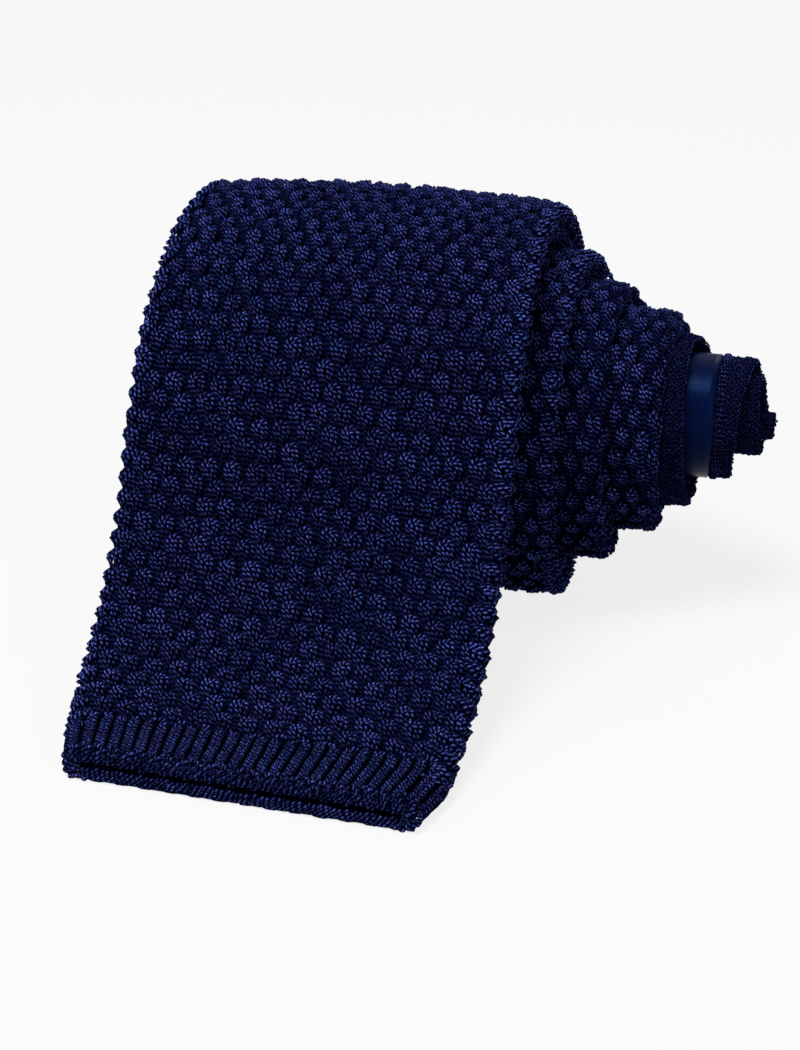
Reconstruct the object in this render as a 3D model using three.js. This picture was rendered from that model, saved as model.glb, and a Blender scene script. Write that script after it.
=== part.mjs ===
// Knit tie, rolled up from its neck and laid on a flat surface.
// Millimetres, +Z up. The roll lies along X and the wide end runs down towards -Y.
import * as THREE from 'three';

// Driving sizes
const BLADE_WIDTH = 59; // widest part of the tie, pressed flat
const NECK_WIDTH = 31; // fine knitted band behind the neck
const TAIL_WIDTH = 43; // square end of the narrow tail
const LAYER = 2.15; // knitted tube where the roll presses it flat
const NECK_LAYER = 0.9; // finer tube at the neck
const MOUTH_WIDTH = 52; // the open wide end, where the knit draws in
const MOUTH_HEIGHT = 4.8; // both walls and the slit at the open wide end
const SLIT = 0.22; // space between the two walls in the roll
const MOUTH_SLIT = 1; // the same space at the open wide end
const FOLD_WALL = 1.6; // from the edge of the tube to the end of its slit
const GAP = 0.3; // between layers that lie on each other, and at each seam
const CORE_RADIUS = 3.9; // outside of the innermost turn
const TELESCOPE = 37; // how far the middle of the roll is pushed out sideways
const RISE_HEIGHT = 2.9; // how much higher the middle turns lie than the outer one
const FLAP_REACH = 86.5; // from the top of the roll forward to the wide end
const FLAP_FLAT = 8; // length of the wide end that lies flat
const END_SKEW = 4.6; // how much further forward the right corner lies
const RIBBON_MARGIN = 3.3; // fine knit on each side of the satin ribbon
const RIBBON_THICKNESS = 0.3;
const TAIL_PEEK = 0.8; // furthest that the tail shows past the edge of the blade
const SLACK_GAP = 2.3; // extra room under the outermost turn
const LEAN = 0.09; // sideways shift of the inner turns for each mm down
const CROWN_HEIGHT = 1.6; // how much the middle of the outer turn stands above its edges

// Turns are counted from the outside: 0 is the top of the outer turn
const STEPS_PER_TURN = 20;
const LAST_TURN = 6.75; // where the tie is folded in half
const NECK_TURN = 3.5; // seam between the ribbed knit and the fine band
const TAIL_TURN = -0.05; // where the narrow tail ends, under the flap
const RIBBON_FROM = 5.35;
const RIBBON_TO = 4.3;
const FLAP_STEPS = 4; // sections between two rows of the flap's table
const FLAT_STEPS = 3; // sections along the stretch that lies flat
const BEND_STEPS = 4; // parts of the half turn where the tie is folded in half

// How the roll changes, turn by turn
const ROLL = [
  // thick: share of the way from the neck's to the blade's thickness
  // rise, push and lean: shares of RISE_HEIGHT, TELESCOPE and LEAN
  // taper: share of the way from the neck's width to the blade's or the tail's
  // peek: share of TAIL_PEEK that the tail's edge lies past the blade's; crown: share of CROWN_HEIGHT
  { turn: -0.3, thick: 1, rise: 0, push: -0.04, lean: 0, taper: 0.95, peek: -0.6, crown: 1 },
  { turn: 0, thick: 1, rise: 0, push: 0, lean: 0, taper: 0.93, peek: -0.6, crown: 1 },
  { turn: 0.3, thick: 0.95, rise: 0.01, push: 0.05, lean: 0.2, taper: 0.9, peek: -0.6, crown: 0 },
  { turn: 1, thick: 0.84, rise: 0.04, push: 0.18, lean: 0.6, taper: 0.83, peek: -0.6, crown: 0 },
  { turn: 2, thick: 0.56, rise: 0.22, push: 0.36, lean: 1, taper: 0.62, peek: -0.6, crown: 0 },
  { turn: 3, thick: 0.32, rise: 0.38, push: 0.57, lean: 1, taper: 0.4, peek: 1, crown: 0 },
  { turn: 4, thick: 0, rise: 0.4, push: 0.7, lean: 1, taper: 0.1, peek: 0, crown: 0 },
  { turn: 5, thick: 0, rise: 0.94, push: 0.91, lean: 1, taper: 0, peek: 0, crown: 0 },
  { turn: 6.3, thick: 0, rise: 1, push: 0.94, lean: 1, taper: 0, peek: 0, crown: 0 },
  { turn: 6.75, thick: 0, rise: 1, push: 1, lean: 1, taper: 0, peek: 0, crown: 0 },
];

// The flap, from the top of the roll down to where it lies flat
const FLAP = [
  // reach: share of the way to the flat stretch; height: share of the drop
  // width: share of BLADE_WIDTH; swell: share of the way to the open end's thickness and slit
  // skew and crown: shares of END_SKEW and CROWN_HEIGHT
  { reach: 0, height: 1, width: 0.967, swell: 0, skew: 0, crown: 1 },
  { reach: 0.21, height: 0.955, width: 0.975, swell: 0.02, skew: 0, crown: 0.7 },
  { reach: 0.375, height: 0.815, width: 0.985, swell: 0.05, skew: 0, crown: 0.2 },
  { reach: 0.48, height: 0.6, width: 1, swell: 0.1, skew: 0, crown: 0 },
  { reach: 0.577, height: 0.367, width: 1, swell: 0.2, skew: 0.05, crown: 0 },
  { reach: 0.722, height: 0.17, width: 1, swell: 0.4, skew: 0.3, crown: 0 },
  { reach: 0.87, height: 0.06, width: 0.99, swell: 0.7, skew: 0.7, crown: 0 },
  { reach: 1, height: 0, width: 0.955, swell: 1, skew: 1, crown: 0 },
];

const SILK = new THREE.Color(0x14143a);
const FINE_SILK = new THREE.Color(0x16174a);
const SATIN = new THREE.Color(0x1d2a7a);

const SIDEWAYS = new THREE.Vector3(1, 0, 0);
const FORWARD = new THREE.Vector3(0, -1, 0);

// Value of one column of a table at a given place, straight between its rows
function lookUp(table, key, at, column) {
  let row = 0;
  while (row < table.length - 2 && table[row + 1][key] < at) row += 1;
  const from = table[row];
  const to = table[row + 1];
  const share = THREE.MathUtils.clamp((at - from[key]) / (to[key] - from[key]), 0, 1);
  return THREE.MathUtils.lerp(from[column], to[column], share);
}

function rollThickness(turn) {
  return THREE.MathUtils.lerp(NECK_LAYER, LAYER, lookUp(ROLL, 'turn', turn, 'thick'));
}

function rollRise(turn) {
  return RISE_HEIGHT * lookUp(ROLL, 'turn', turn, 'rise');
}

function rollWidth(turn) {
  return THREE.MathUtils.lerp(NECK_WIDTH, BLADE_WIDTH, lookUp(ROLL, 'turn', turn, 'taper'));
}

// Right edge of the blade, measured from the middle of its wide end
function rightEdge(turn) {
  return BLADE_WIDTH / 2 + TELESCOPE * lookUp(ROLL, 'turn', turn, 'push');
}

// Room for the ribbon where the next turn out passes over it
function ribbonRoom(turn) {
  const inside = turn + 1;
  const fade = 2 / STEPS_PER_TURN;
  const near = Math.min(RIBBON_FROM - inside, inside - RIBBON_TO) / fade + 2;
  return (RIBBON_THICKNESS + GAP) * THREE.MathUtils.clamp(near, 0, 1);
}

// Distance from one turn to the next one in: two layers with a gap around each
function pitch(turn) {
  const lift = rollRise(turn + 1) - rollRise(turn);
  const slack = SLACK_GAP * Math.max(0, 1 - turn);
  return 2 * rollThickness(turn) + 2 * GAP + lift + slack + ribbonRoom(turn);
}

// Outside of the blade's layer, measured from the middle of its turn
function rollRadius(turn) {
  if (turn > LAST_TURN - 1) {
    return CORE_RADIUS + (LAST_TURN - turn) * pitch(LAST_TURN - 1);
  }
  return rollRadius(turn + 1) + pitch(turn);
}

const HALF_TURN = 0.5;
const AXIS_HEIGHT = rollRadius(HALF_TURN) - rollRise(HALF_TURN);

// Which way is out and which way leads to the wide end, at one place on the roll
function rollFrame(turn) {
  const angle = -2 * Math.PI * turn;
  return {
    out: new THREE.Vector3(0, -Math.sin(angle), Math.cos(angle)),
    along: new THREE.Vector3(0, -Math.cos(angle), -Math.sin(angle)),
  };
}

// One section of a tube in the roll, `depth` below the outside of the blade's layer
function rollSection(turn, depth, thickness, width, centre) {
  const { out, along } = rollFrame(turn);
  const middle = out.clone().multiplyScalar(rollRadius(turn) - depth - thickness / 2);
  middle.x = centre - LEAN * lookUp(ROLL, 'turn', turn, 'lean') * middle.z;
  middle.z += AXIS_HEIGHT + rollRise(turn);
  return { middle, out, along, thickness, width, slit: SLIT, skew: 0, crown: 0 };
}

function bladeSection(turn) {
  const width = rollWidth(turn);
  const section = rollSection(turn, 0, rollThickness(turn), width, rightEdge(turn) - width / 2);
  section.crown = CROWN_HEIGHT * lookUp(ROLL, 'turn', turn, 'crown');
  return section;
}

function tailSection(turn) {
  const thickness = rollThickness(turn);
  const width = THREE.MathUtils.lerp(NECK_WIDTH, TAIL_WIDTH, lookUp(ROLL, 'turn', turn, 'taper'));
  const peek = TAIL_PEEK * lookUp(ROLL, 'turn', turn, 'peek');
  return rollSection(turn, thickness + GAP, thickness, width, rightEdge(turn) + peek - width / 2);
}

// Sections at every step from one turn to another, both ends included
function rollSections(from, to, makeSection) {
  const first = Math.round(from * STEPS_PER_TURN);
  const last = Math.round(to * STEPS_PER_TURN);
  const way = Math.sign(last - first);
  const sections = [];
  for (let step = first; step !== last + way; step += way) {
    sections.push(makeSection(step / STEPS_PER_TURN));
  }
  return sections;
}

// A seam: the first section starts the gap further in
function startAfterSeam(sections) {
  sections[0].middle.addScaledVector(sections[0].along, -GAP);
  return sections;
}

// The flap leaves the top of the roll, drops in front of it and flares out flat
function flapSections() {
  const top = bladeSection(0);
  const toe = MOUTH_HEIGHT / 2;
  const dropReach = FLAP_REACH - FLAP_FLAT;
  const pointAt = (reach, height) => new THREE.Vector3(top.middle.x, -reach, height);
  const onRoll = bladeSection(1 / STEPS_PER_TURN).middle.setX(top.middle.x);
  const drop = FLAP.map((row) => pointAt(
    row.reach * dropReach,
    THREE.MathUtils.lerp(toe, top.middle.z, row.height),
  ));
  const points = [onRoll, ...drop, pointAt(FLAP_REACH, toe)];
  const curve = new THREE.CatmullRomCurve3(points, false, 'centripetal');
  const spans = points.length - 1;
  const steps = (FLAP.length - 1) * FLAP_STEPS;
  const sections = [];
  for (let step = 1; step <= steps; step += 1) {
    const place = (1 + step / FLAP_STEPS) / spans;
    const along = curve.getTangent(place).setX(0).normalize();
    sections.push(flapSection(curve.getPoint(place), step === steps ? FORWARD : along));
  }
  for (let step = 1; step <= FLAT_STEPS; step += 1) {
    const reach = dropReach + (FLAP_FLAT * step) / FLAT_STEPS;
    sections.push(flapSection(pointAt(reach, toe), FORWARD));
  }
  return sections;
}

// One section of the flap: thicker and more skewed towards the open end, where it draws in
function flapSection(middle, along) {
  const dropReach = FLAP_REACH - FLAP_FLAT;
  const reach = -middle.y / dropReach;
  const swell = lookUp(FLAP, 'reach', reach, 'swell');
  const width = BLADE_WIDTH * lookUp(FLAP, 'reach', reach, 'width');
  const drawIn = Math.max(0, (-middle.y - dropReach) / FLAP_FLAT);
  return {
    middle,
    along,
    out: along.clone().cross(SIDEWAYS).normalize(),
    thickness: THREE.MathUtils.lerp(LAYER, MOUTH_HEIGHT, swell),
    width: THREE.MathUtils.lerp(width, MOUTH_WIDTH, drawIn),
    slit: THREE.MathUtils.lerp(SLIT, MOUTH_SLIT, swell),
    skew: END_SKEW * lookUp(FLAP, 'reach', reach, 'skew'),
    crown: CROWN_HEIGHT * lookUp(FLAP, 'reach', reach, 'crown'),
  };
}

// Outline of a flattened tube: round folds left and right, straight between them
function tubeOutline(width, thickness, foldPoints, midPoints) {
  const outline = [];
  const round = thickness / 2;
  [1, -1].forEach((side) => {
    for (let i = 0; i < foldPoints; i += 1) {
      const angle = side * Math.PI * (i / (foldPoints - 1) - 0.5);
      const across = side * (width / 2 - round + round * Math.cos(angle));
      outline.push(new THREE.Vector2(across, side * round * Math.sin(side * angle)));
    }
    for (let i = 1; i <= midPoints; i += 1) {
      const share = 1 - (2 * i) / (midPoints + 1);
      outline.push(new THREE.Vector2(side * share * (width / 2 - round), side * round));
    }
  });
  return outline;
}

// The slit inside: pointed at both folds, its two long sides straight
function slitOutline(width, slit, midPoints) {
  const outline = [];
  const half = width / 2 - FOLD_WALL;
  [1, -1].forEach((side) => {
    outline.push(new THREE.Vector2(side * half, 0));
    for (let i = 0; i <= midPoints; i += 1) {
      const share = 1 - (2 * i) / midPoints;
      outline.push(new THREE.Vector2(side * share * (half - 2 * slit), (side * slit) / 2));
    }
  });
  return outline;
}

// Where a point of the outline lies: the crown arches it, the skew leads its right side forward
function placePoint(section, point) {
  const across = point.x / section.width;
  const arch = section.crown * (1 - 4 * across * across);
  return section.middle.clone()
    .add(new THREE.Vector3(point.x, -section.skew * across, 0))
    .addScaledVector(section.out, point.y + arch);
}

// Closed surface from flat faces given as lists of three corners each
function solidFrom(corners) {
  const geometry = new THREE.BufferGeometry();
  const positions = new Float32Array(corners.length * 3);
  corners.forEach((corner, i) => corner.toArray(positions, i * 3));
  geometry.setAttribute('position', new THREE.BufferAttribute(positions, 3));
  geometry.computeVertexNormals();
  return geometry;
}

// Wall between two rings of points that run the same way round
function addWall(corners, ring, next, facesOut) {
  ring.forEach((point, i) => {
    const j = (i + 1) % ring.length;
    const quad = facesOut ? [point, next[i], next[j], ring[j]] : [point, ring[j], next[j], next[i]];
    corners.push(quad[0], quad[1], quad[2], quad[0], quad[2], quad[3]);
  });
}

// Flat end: the outline with the slit left open, or closed where there is no slit
function addEnd(corners, outline, slit, outerRing, innerRing, facesOut) {
  const points = [...outerRing, ...innerRing];
  THREE.ShapeUtils.triangulateShape(outline, slit.length ? [slit] : []).forEach(([a, b, c]) => {
    const ordered = facesOut ? [a, b, c] : [a, c, b];
    ordered.forEach((index) => corners.push(points[index]));
  });
}

// Body swept through sections that run from the wide end's side to the neck
function sweep(sections, outlineOf, slitOf) {
  const corners = [];
  const rings = sections.map((section) => {
    const outline = outlineOf(section);
    const slit = slitOf(section);
    return {
      outline,
      slit,
      outer: outline.map((point) => placePoint(section, point)),
      inner: slit.map((point) => placePoint(section, point)),
    };
  });
  for (let i = 0; i + 1 < rings.length; i += 1) {
    addWall(corners, rings[i].outer, rings[i + 1].outer, true);
    addWall(corners, rings[i].inner, rings[i + 1].inner, false);
  }
  const start = rings[0];
  const end = rings[rings.length - 1];
  addEnd(corners, start.outline, start.slit, start.outer, start.inner, true);
  addEnd(corners, end.outline, end.slit, end.outer, end.inner, false);
  return solidFrom(corners);
}

function knitMesh(name, sections, foldPoints, midPoints, colour) {
  const geometry = sweep(
    sections,
    (section) => tubeOutline(section.width, section.thickness, foldPoints, midPoints),
    (section) => slitOutline(section.width, section.slit, Math.max(1, midPoints)),
  );
  const material = new THREE.MeshStandardMaterial({ color: colour, roughness: 0.7, metalness: 0 });
  const mesh = new THREE.Mesh(geometry, material);
  mesh.name = name;
  return mesh;
}

function wideBlade() {
  const sections = [...flapSections().reverse(), ...rollSections(0, NECK_TURN, bladeSection)];
  return knitMesh('wide_blade', sections, 4, 3, SILK);
}

function narrowTail() {
  return knitMesh('narrow_tail', rollSections(TAIL_TURN, NECK_TURN, tailSection), 3, 1, SILK);
}

// The band runs in to the core, folds back on itself and runs out again
function neckBand() {
  const inward = startAfterSeam(rollSections(NECK_TURN, LAST_TURN, bladeSection));
  const back = startAfterSeam(rollSections(NECK_TURN, LAST_TURN, tailSection)).reverse();
  const last = inward[inward.length - 1];
  const first = back[0];
  const centre = last.middle.clone().add(first.middle).multiplyScalar(0.5);
  const radius = last.middle.distanceTo(first.middle) / 2;
  const bends = [];
  for (let i = 1; i < BEND_STEPS; i += 1) {
    const angle = Math.PI * (0.5 - i / BEND_STEPS);
    const out = last.out.clone().multiplyScalar(Math.sin(angle));
    out.addScaledVector(last.along, -Math.cos(angle));
    bends.push({ ...last, middle: centre.clone().addScaledVector(out, radius), out });
  }
  // Past the fold the tube's outside faces the middle of the roll
  const turned = back.map((section) => ({ ...section, out: section.out.clone().negate() }));
  return knitMesh('neck_band', [...inward, ...bends, ...turned], 3, 1, FINE_SILK);
}

function neckRibbon() {
  const sections = rollSections(RIBBON_TO, RIBBON_FROM, (turn) => {
    const section = bladeSection(turn);
    const lift = section.thickness / 2 + GAP + RIBBON_THICKNESS / 2;
    section.middle.addScaledVector(section.out, lift);
    return section;
  });
  const half = RIBBON_THICKNESS / 2;
  const side = NECK_WIDTH / 2 - RIBBON_MARGIN;
  const outline = [[side, -half], [side, half], [-side, half], [-side, -half]];
  const strip = () => outline.map(([across, up]) => new THREE.Vector2(across, up));
  const material = new THREE.MeshStandardMaterial({ color: SATIN, roughness: 0.35, metalness: 0 });
  const mesh = new THREE.Mesh(sweep(sections, strip, () => []), material);
  mesh.name = 'neck_ribbon';
  return mesh;
}

const tie = new THREE.Group();
tie.add(wideBlade(), narrowTail(), neckBand(), neckRibbon());

// The origin is the middle of the floor under the whole tie
const box = new THREE.Box3().setFromObject(tie);
const centre = box.getCenter(new THREE.Vector3());
tie.position.set(-centre.x, -centre.y, -box.min.z);

export default tie;
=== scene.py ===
# %% [markdown]
# # A knit tie, rolled up
# The tie is a flattened tube of silk knit, rolled up from its neck and laid on its side.
# Every step below makes one part of it. Sizes are in metres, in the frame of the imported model.
# The knit is made flat, as on a machine, and then wrapped round the shape that the tie is rolled in.

import math

import bmesh
import bpy
import numpy as np
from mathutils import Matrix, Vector


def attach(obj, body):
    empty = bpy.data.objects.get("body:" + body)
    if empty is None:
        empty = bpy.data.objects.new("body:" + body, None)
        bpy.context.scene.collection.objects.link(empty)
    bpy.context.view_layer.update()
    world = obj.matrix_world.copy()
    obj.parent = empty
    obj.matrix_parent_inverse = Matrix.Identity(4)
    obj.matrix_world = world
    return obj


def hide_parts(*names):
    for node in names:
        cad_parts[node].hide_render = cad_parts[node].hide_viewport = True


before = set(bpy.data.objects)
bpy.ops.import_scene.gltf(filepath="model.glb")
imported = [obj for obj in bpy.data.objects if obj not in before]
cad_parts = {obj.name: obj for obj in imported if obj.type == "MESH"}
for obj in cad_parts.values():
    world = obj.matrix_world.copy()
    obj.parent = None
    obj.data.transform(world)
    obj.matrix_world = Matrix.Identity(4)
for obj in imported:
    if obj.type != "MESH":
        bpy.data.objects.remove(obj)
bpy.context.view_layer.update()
scene = bpy.context.scene
MM = 0.001
print("solids:", sorted(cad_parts))

# %% [markdown]
# ## Camera, floor and light
# A product photo like this is taken from some way off with a long lens, so the sides stay nearly parallel.
# The camera stands 13 degrees to the right and 24 degrees up. A small shift frames the tie as in the photo.
# A soft box overhead and a weaker one at the left light the tie. The small highlights on the yarn are painted
# highlights in its colour.
# The floor glows a little, like paper lit from below, so only a faint shadow shows where the tie touches it.

# %% Camera
AZIMUTH = math.radians(13)
ELEVATION = math.radians(24)
LOOK_AT = Vector((-19.07, 28.50, 0)) * MM
DISTANCE = 0.466
FRAME_HEIGHT = 1050
FOCAL_PIXELS = 2768
SENSOR = 36

back = Vector((
    math.sin(AZIMUTH) * math.cos(ELEVATION),
    -math.cos(AZIMUTH) * math.cos(ELEVATION),
    math.sin(ELEVATION),
))
camera = bpy.data.objects.new("camera", bpy.data.cameras.new("camera"))
scene.collection.objects.link(camera)
camera.data.sensor_width = SENSOR
camera.data.lens = SENSOR * FOCAL_PIXELS / FRAME_HEIGHT
camera.data.shift_x = 30 / FRAME_HEIGHT
camera.data.shift_y = 34 / FRAME_HEIGHT
camera.data.clip_start = 0.01
camera.data.clip_end = 20
camera.location = LOOK_AT + back * DISTANCE
camera.rotation_mode = "QUATERNION"
camera.rotation_quaternion = (-back).to_track_quat("-Z", "Y")
scene.camera = camera
print("lens in mm:", round(camera.data.lens, 1))

# %% Floor and lights
def area_light(name, place, size, power, colour=(1, 1, 1)):
    """A square soft light that points at the tie."""
    light = bpy.data.objects.new(name, bpy.data.lights.new(name, "AREA"))
    light.data.shape = "SQUARE"
    light.data.size = size
    light.data.energy = power
    light.data.color = colour
    light.location = place
    light.rotation_mode = "QUATERNION"
    light.rotation_quaternion = (-Vector(place)).to_track_quat("-Z", "Y")
    scene.collection.objects.link(light)
    return light


floor_mesh = bpy.data.meshes.new("floor")
FLOOR_HALF = 4.0
floor_mesh.from_pydata(
    [(-FLOOR_HALF, -FLOOR_HALF, 0), (FLOOR_HALF, -FLOOR_HALF, 0),
     (FLOOR_HALF, FLOOR_HALF, 0), (-FLOOR_HALF, FLOOR_HALF, 0)],
    [], [(0, 1, 2, 3)],
)
floor = bpy.data.objects.new("floor", floor_mesh)
scene.collection.objects.link(floor)

area_light("light_overhead", (-0.15, -0.30, 1.1), 0.45, 17)
area_light("light_front_left", (-0.8, -0.9, 0.6), 0.4, 5)
area_light("light_front_right", (0.7, -0.9, 0.5), 0.5, 4.5)
area_light("light_back", (0.3, 1.1, 0.7), 0.6, 2.5)
world = bpy.data.worlds.new("studio")
scene.world = world
world.use_nodes = True
world.node_tree.nodes["Background"].inputs["Color"].default_value = (1, 1, 1, 1)
AROUND_LIGHT = 0.3
AROUND_LOOK = 0.92
sky = world.node_tree
seen = sky.nodes.new("ShaderNodeLightPath")
strength = sky.nodes.new("ShaderNodeMapRange")
strength.inputs["To Min"].default_value = AROUND_LIGHT
strength.inputs["To Max"].default_value = AROUND_LOOK
sky.links.new(seen.outputs["Is Camera Ray"], strength.inputs["Value"])
sky.links.new(strength.outputs["Result"], sky.nodes["Background"].inputs["Strength"])
scene.view_settings.view_transform = "Standard"

paper = bpy.data.materials.new("lit_floor")
paper.use_nodes = True
paper_shader = paper.node_tree.nodes["Principled BSDF"]
paper_shader.inputs["Base Color"].default_value = (0.08, 0.08, 0.082, 1)
paper_shader.inputs["Roughness"].default_value = 0.9
paper_shader.inputs["Specular IOR Level"].default_value = 0.0
paper_shader.inputs["Emission Color"].default_value = (1, 1, 1, 1)
paper_shader.inputs["Emission Strength"].default_value = 0.82
floor_mesh.materials.append(paper)

# %% [markdown]
# ## Short calls for node trees
# Geometry and material trees are both built from nodes and links.
# One small helper makes a node, sets its settings and fills or links its inputs, so each tree reads in order.

# %% Node helper
class Tree:
    """A node tree that is built in the order in which it runs."""

    def __init__(self, tree):
        self.tree = tree

    def add(self, kind, inputs=(), **settings):
        made = self.tree.nodes.new(kind)
        for name, value in settings.items():
            setattr(made, name, value)
        for name, value in dict(inputs).items():
            if isinstance(value, bpy.types.NodeSocket):
                self.tree.links.new(value, made.inputs[name])
            else:
                made.inputs[name].default_value = value
        return made

    def math(self, operation, *values):
        made = self.tree.nodes.new("ShaderNodeMath")
        made.operation = operation
        for i, value in enumerate(values):
            if isinstance(value, bpy.types.NodeSocket):
                self.tree.links.new(value, made.inputs[i])
            else:
                made.inputs[i].default_value = value
        return made.outputs[0]

    def socket(self, name, kind, value=None, out=False):
        way = "OUTPUT" if out else "INPUT"
        made = self.tree.interface.new_socket(name=name, in_out=way, socket_type="NodeSocket" + kind)
        if value is not None:
            made.default_value = value
        return made


# %% [markdown]
# ## The path that the tie is rolled in
# The tie is folded in half at the neck and rolled up from that fold, so each turn holds two layers.
# Turns are counted from the outside, and 0 is the top of the outer turn.
# The tables give how thick, high, pushed out and wide the tie is, turn by turn.
# A modeller could draw this spiral by eye, but the tables keep the looks and the solids together.
# Only the fourth turn is pushed out 2 mm less here than in the solids, so more of the ribbon shows beside it.

# %% Driving sizes, in millimetres
BLADE_WIDTH = 59
NECK_WIDTH = 31
TAIL_WIDTH = 43
LAYER = 2.15
NECK_LAYER = 0.9
MOUTH_WIDTH = 52
MOUTH_HEIGHT = 4.8
SLIT = 0.22
MOUTH_SLIT = 1.0
FOLD_WALL = 1.6
GAP = 0.3
CORE_RADIUS = 3.9
TELESCOPE = 37
RISE_HEIGHT = 2.9
FLAP_REACH = 86.5
FLAP_FLAT = 8
END_SKEW = 4.6
RIBBON_MARGIN = 3.3
RIBBON_THICKNESS = 0.3
TAIL_PEEK = 0.8
SLACK_GAP = 2.3
LEAN = 0.09
CROWN_HEIGHT = 1.6
STEPS_PER_TURN = 20
LAST_TURN = 6.75
NECK_TURN = 3.5
TAIL_TURN = -0.05
RIBBON_FROM = 5.35
RIBBON_TO = 4.3
TO_ROW_FRAME = np.array([-19.0709, 28.5016, 0])

# %% How the roll changes, turn by turn
ROLL = {
    "turn": (-0.3, 0, 0.3, 1, 2, 3, 4, 5, 6.3, 6.75),
    "thick": (1, 1, 0.95, 0.84, 0.56, 0.32, 0, 0, 0, 0),
    "rise": (0, 0, 0.01, 0.04, 0.22, 0.38, 0.4, 0.94, 1, 1),
    "push": (-0.04, 0, 0.05, 0.18, 0.36, 0.57, 0.65, 0.91, 0.94, 1),
    "lean": (0, 0, 0.2, 0.6, 1, 1, 1, 1, 1, 1),
    "taper": (0.95, 0.93, 0.9, 0.83, 0.62, 0.4, 0.1, 0, 0, 0),
    "peek": (-0.6, -0.6, -0.6, -0.6, -0.6, 1, 0, 0, 0, 0),
    "crown": (1, 1, 0, 0, 0, 0, 0, 0, 0, 0),
}
FLAP = {
    "reach": (0, 0.21, 0.375, 0.48, 0.577, 0.722, 0.87, 1),
    "height": (1, 0.955, 0.815, 0.6, 0.367, 0.17, 0.06, 0),
    "width": (0.967, 0.975, 0.985, 1, 1, 1, 0.99, 0.955),
    "swell": (0, 0.02, 0.05, 0.1, 0.2, 0.4, 0.7, 1),
    "skew": (0, 0, 0, 0, 0.05, 0.3, 0.7, 1),
    "crown": (1, 0.7, 0.2, 0, 0, 0, 0, 0),
}


def roll_at(turn, column):
    return float(np.interp(turn, ROLL["turn"], ROLL[column]))


def flap_at(reach, column):
    return float(np.interp(reach, FLAP["reach"], FLAP[column]))


def lerp(a, b, share):
    return a + (b - a) * share


# %% Distance from turn to turn
def thickness_at(turn):
    return lerp(NECK_LAYER, LAYER, roll_at(turn, "thick"))


def rise_at(turn):
    return RISE_HEIGHT * roll_at(turn, "rise")


def pitch(turn):
    inside = turn + 1
    near = min(RIBBON_FROM - inside, inside - RIBBON_TO) / (2 / STEPS_PER_TURN) + 2
    room = (RIBBON_THICKNESS + GAP) * min(max(near, 0), 1)
    slack = SLACK_GAP * max(0, 1 - turn)
    lift = rise_at(turn + 1) - rise_at(turn)
    return 2 * thickness_at(turn) + 2 * GAP + lift + slack + room


def radius_at(turn):
    if turn > LAST_TURN - 1:
        return CORE_RADIUS + (LAST_TURN - turn) * pitch(LAST_TURN - 1)
    return radius_at(turn + 1) + pitch(turn)


AXIS_HEIGHT = radius_at(0.5) - rise_at(0.5)
print("outer turn's radius in mm:", round(radius_at(0), 1), "axis height:", round(AXIS_HEIGHT, 1))


# %% One section of the rolled tube
def section(turn, layer="blade"):
    """Where the tube's middle lies at one place, which way is out, and how wide and thick it is."""
    angle = -2 * math.pi * turn
    out = np.array([0, -math.sin(angle), math.cos(angle)])
    thick = thickness_at(turn)
    taper = roll_at(turn, "taper")
    right = BLADE_WIDTH / 2 + TELESCOPE * roll_at(turn, "push")
    depth = 0
    width = lerp(NECK_WIDTH, BLADE_WIDTH, taper)
    crown = CROWN_HEIGHT * roll_at(turn, "crown")
    if layer == "tail":
        depth = thick + GAP
        width = lerp(NECK_WIDTH, TAIL_WIDTH, taper)
        right += TAIL_PEEK * roll_at(turn, "peek")
        crown = 0
    middle = out * (radius_at(turn) - depth - thick / 2)
    middle[0] = right - width / 2 - LEAN * roll_at(turn, "lean") * middle[2]
    middle[2] += AXIS_HEIGHT + rise_at(turn)
    return {
        "middle": middle, "out": out, "thick": thick, "width": width,
        "skew": 0, "crown": crown, "slit": SLIT,
    }


def roll_sections(start, end, layer="blade", steps=72):
    count = max(2, round(abs(end - start) * steps) + 1)
    return [section(turn, layer) for turn in np.linspace(start, end, count)]


# %% [markdown]
# ## The flap
# The wide end leaves the top of the roll, drops in front of it and flares out flat on the table.
# A smooth curve through a few points gives its side view. It is the same kind of curve as in the solids.

# %% Smooth curve through points
def smooth_curve(points, place):
    """Point at a place from 0 to 1 on a centripetal curve through the given points."""
    spans = len(points) - 1
    at = place * spans
    k = min(int(at), spans - 1)
    w = at - k
    p1, p2 = points[k], points[k + 1]
    p0 = points[k - 1] if k > 0 else 2 * points[0] - points[1]
    p3 = points[k + 2] if k + 2 <= spans else 2 * points[-1] - points[-2]
    d0, d1, d2 = (math.sqrt(np.linalg.norm(b - a)) for a, b in ((p0, p1), (p1, p2), (p2, p3)))
    t1 = ((p1 - p0) / d0 - (p2 - p0) / (d0 + d1) + (p2 - p1) / d1) * d1
    t2 = ((p2 - p1) / d1 - (p3 - p1) / (d1 + d2) + (p3 - p2) / d2) * d1
    c2 = -3 * p1 + 3 * p2 - 2 * t1 - t2
    c3 = 2 * p1 - 2 * p2 + t1 + t2
    return p1 + t1 * w + c2 * w * w + c3 * w ** 3


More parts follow.
